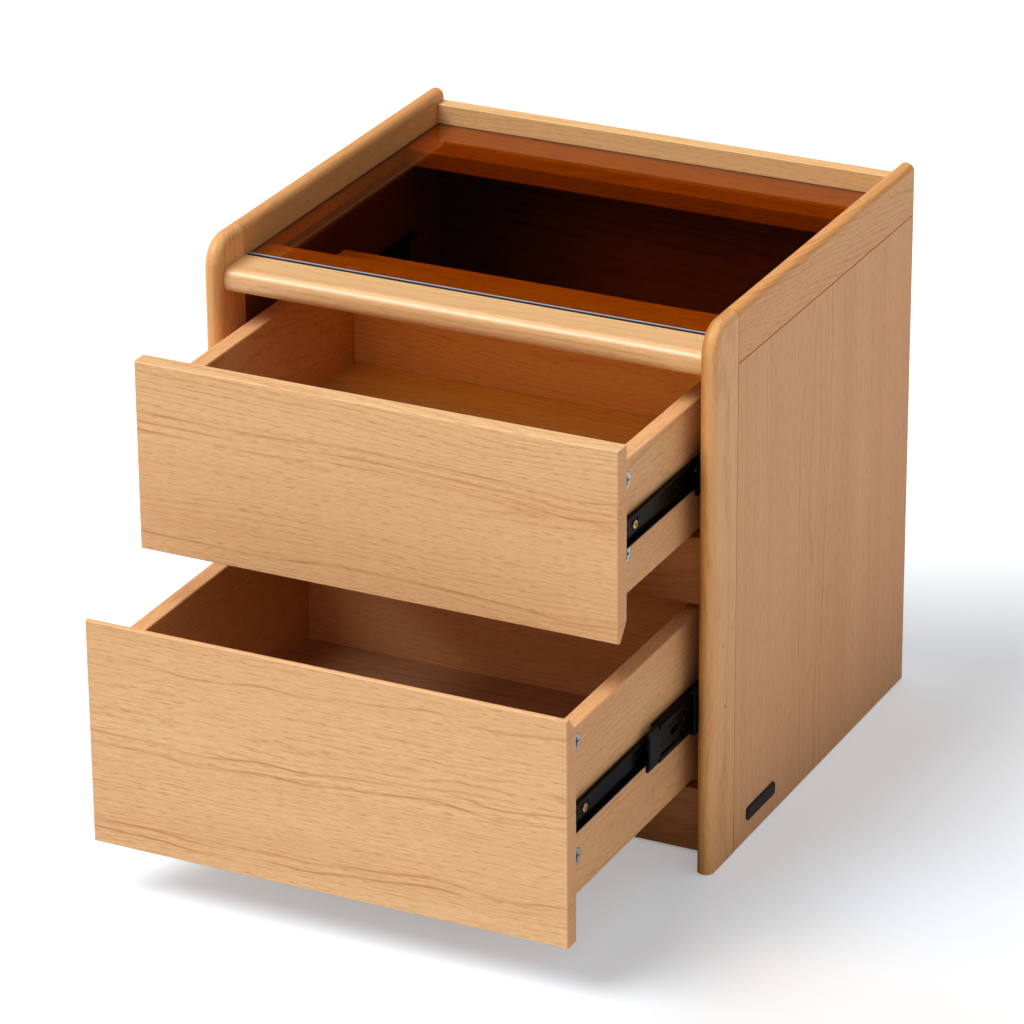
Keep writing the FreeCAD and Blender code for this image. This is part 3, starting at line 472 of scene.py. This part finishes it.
def shade_darkened(graph, colour, kept):
    """The colour darkened by painted shade to a share of itself, and more so in green and blue."""
    green = graph.math("POWER", kept, SHADE_GREEN_POWER)
    blue = graph.math("POWER", kept, SHADE_BLUE_POWER)
    return graph.mix(1.0, colour, graph.join(kept, green, blue), "MULTIPLY")


def shaded_to_left(graph, name, low, colour):
    """The colour made darker by painted shade to the left of some boards."""
    if name not in SHADED:
        return colour
    begin, end, share, front_only = SHADED[name]
    across, along, _ = graph.split(graph.place())
    kept = graph.spread(across, begin, end, share, 1.0, smooth=True)
    if front_only:
        behind = graph.math("SUBTRACT", along, low.y)
        kept = graph.math("MAXIMUM", kept, graph.spread(behind, FRONT_FACE_CORE, FRONT_FACE_REACH))
    return shade_darkened(graph, colour, kept)


def painted_shade_inside(graph, name, low, high, colour):
    """The colour made darker by painted shade on the inner face of some boards."""
    across = graph.split(graph.place())[0]
    for ending, (share, side) in SHADED_INNER_FACES.items():
        if name.endswith(ending):
            face = high.x if side > 0 else low.x
            away = graph.math("ABSOLUTE", graph.math("SUBTRACT", across, face))
            colour = shade_darkened(graph, colour, graph.spread(away, FACE_CORE, FACE_REACH, share, 1.0))
    return colour


def painted_gap_shadow(graph, name):
    """A share of painted shadow along the front edge of the glass."""
    if name != GAP_RAIL:
        return 0.0
    along = graph.split(graph.place())[1]
    behind = graph.math("SUBTRACT", along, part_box("glass_top")[0].y)
    return graph.nearness(behind, GAP_PLACE, GAP_CORE, GAP_REACH)


def board_figure(graph, name, wood, place):
    """A board's own figure, as (rings, fibres, pores, bands) and its seed, which stay the same for a name."""
    chance = random.Random(name)
    figure = graph.node("ShaderNodeGroup", node_tree=FIGURE)
    graph.put(figure.inputs["Place"], place)
    seed = [chance.uniform(-9, 9) for _ in range(3)]
    figure.inputs["Seed"].default_value = seed
    any_heart = (chance.uniform(-0.08, 0.08), chance.uniform(0.04, 0.09), chance.uniform(-0.05, 0.05))
    for socket, number in zip(("Heart across", "Heart depth", "Tilt"), HEARTS.get(name, any_heart)):
        figure.inputs[socket].default_value = number
    figure.inputs["Ring pitch"].default_value = wood["pitch"] * MM
    return figure.outputs, seed


def figured_colour(graph, wood, figure):
    """The wood's colour with its rings, fibres, pores and bands."""
    rings, fibres, pores, bands = figure
    tone = graph.math("MULTIPLY", rings, wood["rings"])
    tone = graph.math("ADD", tone, graph.math("MULTIPLY", fibres, 0.12))
    tone = graph.math("ADD", tone, graph.math("MULTIPLY", bands, 0.08))
    colour = graph.mix(graph.math("MULTIPLY", bands, 0.45), wood["light"], wood["red"])
    colour = graph.mix(tone, colour, wood["dark"])
    return graph.mix(graph.math("MULTIPLY", pores, wood["pores"]), colour, wood["pore"])


def lacquer(graph, shader, name, wood, figure):
    """The sheen and relief of lacquered oak, which is rougher in its pores and fibres."""
    _, fibres, pores, _ = figure
    roughness = graph.math("ADD", graph.math("MULTIPLY", pores, 0.14), graph.math("MULTIPLY", fibres, 0.08))
    graph.put(shader["Roughness"], graph.math("ADD", roughness, wood["roughness"] - 0.04))
    shader["Specular IOR Level"].default_value = wood["gloss"]
    shader["Coat Weight"].default_value = COATS.get(name, wood["coat"])
    shader["Coat Roughness"].default_value = COAT_ROUGHNESS
    relief = graph.math("SUBTRACT", graph.math("MULTIPLY", fibres, 0.25), pores)
    graph.put(shader["Normal"], graph.bump(relief, GRAIN_RELIEF, 0.35))


def oak(name, kind, low, high):
    """A lacquered oak for one board, with its own figure, tone and edges."""
    for ending, other in KINDS.items():
        kind = other if name.endswith(ending) else kind
    wood = WOODS[kind]
    material, graph, shader = new_material(name + "_" + kind)
    place, axes = board_space(graph, low, high)
    figure, seed = board_figure(graph, name, wood, place)
    half_width = sorted(high - low)[1] / 2

    colour = figured_colour(graph, wood, figure)
    colour = graph.mix(long_lines(graph, name, place, half_width, seed), colour, LINE_BROWN)
    # Pale worn edges, partly a painted highlight along the arrises.
    colour = graph.mix(worn_and_highlit_edges(graph, axes, low, high), colour, wood["light"])
    colour = graph.mix(glue_lines(graph, name), colour, GLUE_BROWN)
    colour = graph.mix(small_knots(graph, name), colour, KNOT_BROWN)
    colour = graph.mix(end_grain(graph, place, low, high), colour, END_BROWN)
    # Painted shade to the left of some boards and on their inner faces, and a painted shadow before the
    # glass.
    colour = shaded_to_left(graph, name, low, colour)
    colour = painted_shade_inside(graph, name, low, high, colour)
    colour = graph.mix(painted_gap_shadow(graph, name), colour, GAP_SHADOW_BROWN)
    graph.put(shader["Base Color"], colour)
    lacquer(graph, shader, name, wood, figure)
    return material


def beech():
    """Bare beech of the dowels, with short flecks."""
    material, graph, shader = new_material("dowel_beech")
    flecks = graph.spread(graph.noise(graph.place(), (900, 120, 900), detail=2), 0.42, 0.62)
    graph.put(shader["Base Color"], graph.mix(flecks, shown(226, 194, 146), shown(196, 156, 106)))
    graph.put(shader["Roughness"], graph.spread(flecks, 0, 1, 0.55, 0.7))
    graph.put(shader["Normal"], graph.bump(flecks, 0.05 * MM, 0.3))
    return material


# The glass is cut square. Its rim is dark, and along the front a pale ground line, a painted highlight of the
# arris, lies behind a dark line, partly the dark cut and partly painted shade of the gap.
GLASS_TEA = (0.82, 0.44, 0.035, 1)
GLASS_DEEP_TEA = (0.77, 0.41, 0.035, 1)
GLASS_CUT_AND_SHADE = (0.006, 0.004, 0.004, 1)
GLASS_ARRIS_HIGHLIGHT = (0.37, 0.44, 0.54, 1)
GLASS_IOR = 1.52
GLASS_RIM = 0.85 * MM
RIM_SOFTNESS = 0.03 * MM
DARK_LINE_END = 2.8 * MM
PALE_LINE_END = 4.8 * MM
LINE_SOFTNESS = 0.1 * MM
# The pale line lies on the upper face, and is gone between these depths below it.
PALE_LINE_DEPTH = (0.9 * MM, 0.5 * MM)
PALE_LINE_ROUGHNESS = 0.4
DARK_LINE_ROUGHNESS = 0.95


def tinted_glass():
    """Tea-brown float glass with dark edges, and along the front a pale ground line of painted highlight
    behind a dark line that is partly painted shade.
    """
    low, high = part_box("glass_top")
    material, graph, shader = new_material("tea_brown_glass")
    x, y, z = graph.split(graph.place())
    from_end = graph.math("SUBTRACT", high.x, graph.math("ABSOLUTE", x))
    from_front = graph.math("SUBTRACT", y, low.y)
    from_long_side = graph.math("MINIMUM", from_front, graph.math("SUBTRACT", high.y, y))
    rim = graph.within(graph.math("MINIMUM", from_end, from_long_side), GLASS_RIM, RIM_SOFTNESS)
    # The dark line is partly painted shade, and the pale line is a painted highlight.
    dark_line = graph.within(from_front, DARK_LINE_END, LINE_SOFTNESS)
    pale_line = graph.within(from_front, PALE_LINE_END, LINE_SOFTNESS)
    pale_line = graph.math("SUBTRACT", pale_line, dark_line)
    deep, shallow = PALE_LINE_DEPTH
    pale_line = graph.math("MULTIPLY", pale_line, graph.spread(z, high.z - deep, high.z - shallow))

    streak = graph.noise(graph.place(), (30, 30, 4), detail=1)
    body = graph.mix(streak, GLASS_TEA, GLASS_DEEP_TEA)
    cut = graph.mix(graph.math("MAXIMUM", rim, dark_line), body, GLASS_CUT_AND_SHADE)
    graph.put(shader["Base Color"], graph.mix(pale_line, cut, GLASS_ARRIS_HIGHLIGHT))
    pale_matt = graph.math("MULTIPLY", pale_line, PALE_LINE_ROUGHNESS)
    dark_matt = graph.math("MULTIPLY", dark_line, DARK_LINE_ROUGHNESS)
    graph.put(shader["Roughness"], graph.math("ADD", pale_matt, dark_matt))
    graph.put(shader["Transmission Weight"], graph.rest(pale_line))
    shader["IOR"].default_value = GLASS_IOR
    return material


def coated_steel():
    """Black dip-coated sheet steel, with a faint orange peel and drawn streaks."""
    material, graph, shader = new_material("black_coated_steel")
    drawn = graph.noise(graph.place(), (60, 4, 420), detail=3)
    peel = graph.noise(graph.place(), (700, 700, 700), detail=1)
    graph.put(shader["Base Color"], graph.mix(drawn, shown(9, 7, 6), shown(17, 14, 12)))
    graph.put(shader["Roughness"], graph.spread(drawn, 0.3, 0.7, 0.2, 0.3))
    shader["Specular IOR Level"].default_value = 0.03
    graph.put(shader["Normal"], graph.bump(peel, 0.03 * MM, 0.2))
    return material


def plated(name, bright, dull, roughness):
    """Plated or passivated metal with a fine mottle."""
    material, graph, shader = new_material(name)
    mottle = graph.noise(graph.place(), (420, 420, 420), detail=3)
    graph.put(shader["Base Color"], graph.mix(mottle, bright, dull))
    graph.put(shader["Roughness"], graph.spread(mottle, 0.3, 0.7, roughness - 0.06, roughness + 0.08))
    shader["Metallic"].default_value = 1
    graph.put(shader["Normal"], graph.bump(mottle, 0.02 * MM, 0.25))
    return material


def moulded(name, dark, pale, roughness):
    """Moulded plastic with a fine grain."""
    material, graph, shader = new_material(name)
    grain = graph.noise(graph.place(), (900, 900, 900), detail=2)
    graph.put(shader["Base Color"], graph.mix(grain, dark, pale))
    graph.put(shader["Roughness"], graph.spread(grain, 0.3, 0.7, roughness - 0.05, roughness + 0.08))
    graph.put(shader["Normal"], graph.bump(grain, 0.04 * MM, 0.3))
    shader["Specular IOR Level"].default_value = 0.06
    return material


def dress_nodes():
    """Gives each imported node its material, from the slot that it was packed with."""
    shared = {
        "dowel_wood": beech(),
        "tinted_glass": tinted_glass(),
        "black_steel": coated_steel(),
        "zinc": plated("bright_zinc", shown(206, 206, 210), shown(168, 168, 174), 0.26),
        "brass": plated("yellow_passivate", shown(222, 190, 120), shown(184, 146, 80), 0.28),
        "black_plastic": moulded("black_plastic_moulding", shown(9, 8, 8), shown(17, 15, 15), 0.36),
        "cage_plastic": moulded("cage_plastic_moulding", shown(30, 30, 32), shown(46, 46, 48), 0.45),
        "badge": moulded("bare_dark_plate", shown(30, 26, 25), shown(48, 42, 40), 0.3),
    }
    for name, node in nodes.items():
        slot = node.material_slots[0].material.name
        low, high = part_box(name)
        node.material_slots[0].material = shared[slot] if slot in shared else oak(name, slot, low, high)


def camera():
    """A camera at the photograph's viewing angle."""
    forward = Vector((
        -math.sin(CAMERA_YAW) * math.cos(CAMERA_PITCH),
        math.cos(CAMERA_YAW) * math.cos(CAMERA_PITCH),
        math.sin(CAMERA_PITCH)))
    level = Vector((math.cos(CAMERA_YAW), math.sin(CAMERA_YAW), 0))
    upright = level.cross(forward)
    right = math.cos(CAMERA_ROLL) * level + math.sin(CAMERA_ROLL) * upright
    up = -math.sin(CAMERA_ROLL) * level + math.cos(CAMERA_ROLL) * upright
    data = bpy.data.cameras.new("camera")
    data.sensor_width = SENSOR_WIDTH
    data.lens = FOCAL_PIXELS / PHOTO_SIDE * SENSOR_WIDTH
    made = bpy.data.objects.new("camera", data)
    made.matrix_world = Matrix.Translation(CAMERA_PLACE) @ Matrix((right, up, -forward)).transposed().to_4x4()
    bpy.context.scene.collection.objects.link(made)
    bpy.context.scene.camera = made


def seen_directly(graph, *kinds):
    """1 for rays of these kinds, such as those from the camera."""
    rays = graph.node("ShaderNodeLightPath").outputs
    share = 0.0
    for kind in kinds:
        share = graph.math("MAXIMUM", share, rays["Is " + kind + " Ray"])
    return share


def under_cabinet(graph, across, along):
    """1 on the floor between the cabinet's sides, front rail and rear rail, and 0 outside."""
    front_low, front_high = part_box("bottom_front_rail")
    rear_low, rear_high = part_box("bottom_rear_rail")
    side = graph.spread(graph.math("ABSOLUTE", across), INNER, INNER + UNDER_SIDE_FADE, 1.0, 0.0)
    front = graph.spread(along, front_low.y, front_high.y)
    rear = graph.spread(along, rear_low.y, rear_high.y, 1.0, 0.0)
    return graph.math("MULTIPLY", side, graph.math("MULTIPLY", front, rear))


def floor_colour(graph, across, along):
    """Pale, with a painted cool tint near the object against warm bounced light, except in the sun."""
    away = graph.vector("LENGTH", graph.place())
    near = graph.spread(away, *FLOOR_REACH, 1.0, 0.0, smooth=True)
    in_sun = graph.math("MULTIPLY", graph.spread(across, *SUN_RIGHT), graph.spread(along, *SUN_FRONT))
    near = graph.math("MULTIPLY", near, graph.rest(in_sun))
    return graph.mix(near, FLOOR_FAR, FLOOR_NEAR)


def floor_lift(graph, across, along):
    """How much the floor glows to the camera, straight on and through the glass. The glow is painted light
    that lightens the object's shadow unevenly.
    """
    right = graph.spread(along, *LIFT_FRONT_TO_REAR, FLOOR_LIFT_FRONT, FLOOR_LIFT_RIGHT, smooth=True)
    lift = graph.spread(across, *LIFT_LEFT_TO_RIGHT, FLOOR_LIFT_LEFT, right, smooth=True)
    lift = graph.math("MULTIPLY", lift, graph.rest(under_cabinet(graph, across, along)))
    return graph.math("MULTIPLY", lift, seen_directly(graph, "Camera", "Transmission"))


def floor():
    """A plain pale floor, which the camera sees lifted to white by a painted glow, with the object's shadow.
    """
    half = FLOOR_SIDE / 2
    mesh = bpy.data.meshes.new("floor")
    corners = [(-half, -half, 0), (half, -half, 0), (half, half, 0), (-half, half, 0)]
    mesh.from_pydata(corners, [], [(0, 1, 2, 3)])
    made = bpy.data.objects.new("floor", mesh)
    made.location.z = -FLOOR_DROP
    bpy.context.scene.collection.objects.link(made)
    material, graph, shader = new_material("pale_floor")
    across, along, _ = graph.split(graph.place())
    graph.put(shader["Base Color"], floor_colour(graph, across, along))
    shader["Roughness"].default_value = 0.9
    shader["Specular IOR Level"].default_value = 0
    graph.put(shader["Emission Strength"], floor_lift(graph, across, along))
    shader["Emission Color"].default_value = (1, 1, 1, 1)
    mesh.materials.append(material)


def sky():
    """A white backdrop, which lights the object softly from above. Shiny surfaces see a darker horizon."""
    world = bpy.data.worlds.new("soft_sky")
    world.use_nodes = True
    bpy.context.scene.world = world
    graph = Graph(world.node_tree)
    background = world.node_tree.nodes["Background"].inputs
    across, _, height = graph.split(graph.node("ShaderNodeTexCoord").outputs["Generated"])
    to_right = graph.spread(across, *RIGHT_SKY_FALL, 1.0, RIGHT_SKY_SHARE, smooth=True)
    light = graph.spread(height, *SKY_RISE, SKY_LOW, SKY_HIGH, smooth=True)
    light = graph.math("MULTIPLY", light, to_right)
    gloss = graph.spread(height, *GLOSS_SKY_RISE, GLOSS_SKY_LOW, GLOSS_SKY_HIGH, smooth=True)
    gloss = graph.math("MULTIPLY", gloss, to_right)
    through = graph.math("MULTIPLY", seen_directly(graph, "Transmission"), 1 - THROUGH_GLASS_SHARE)
    gloss = graph.math("MULTIPLY", gloss, graph.rest(through))
    gloss = graph.math("MAXIMUM", gloss, graph.math("LESS_THAN", height, 0.0))
    mixed = graph.node("ShaderNodeMix", data_type="FLOAT")
    graph.put(mixed.inputs[0], seen_directly(graph, "Glossy", "Transmission"))
    graph.put(mixed.inputs[2], light)
    graph.put(mixed.inputs[3], gloss)
    graph.put(background["Strength"], graph.math("MAXIMUM", mixed.outputs[0], seen_directly(graph, "Camera")))
    background["Color"].default_value = (1, 1, 1, 1)


def key_light():
    """A wide, soft lamp."""
    data = bpy.data.lights.new("key_light", "SUN")
    data.energy = LIGHT_STRENGTH
    data.angle = LIGHT_SPREAD
    made = bpy.data.objects.new("key_light", data)
    made.rotation_euler = LIGHT_FROM.to_track_quat("Z", "Y").to_euler()
    bpy.context.scene.collection.objects.link(made)


dress_nodes()
camera()
floor()
sky()
key_light()
bpy.context.scene.view_settings.view_transform = "Standard"
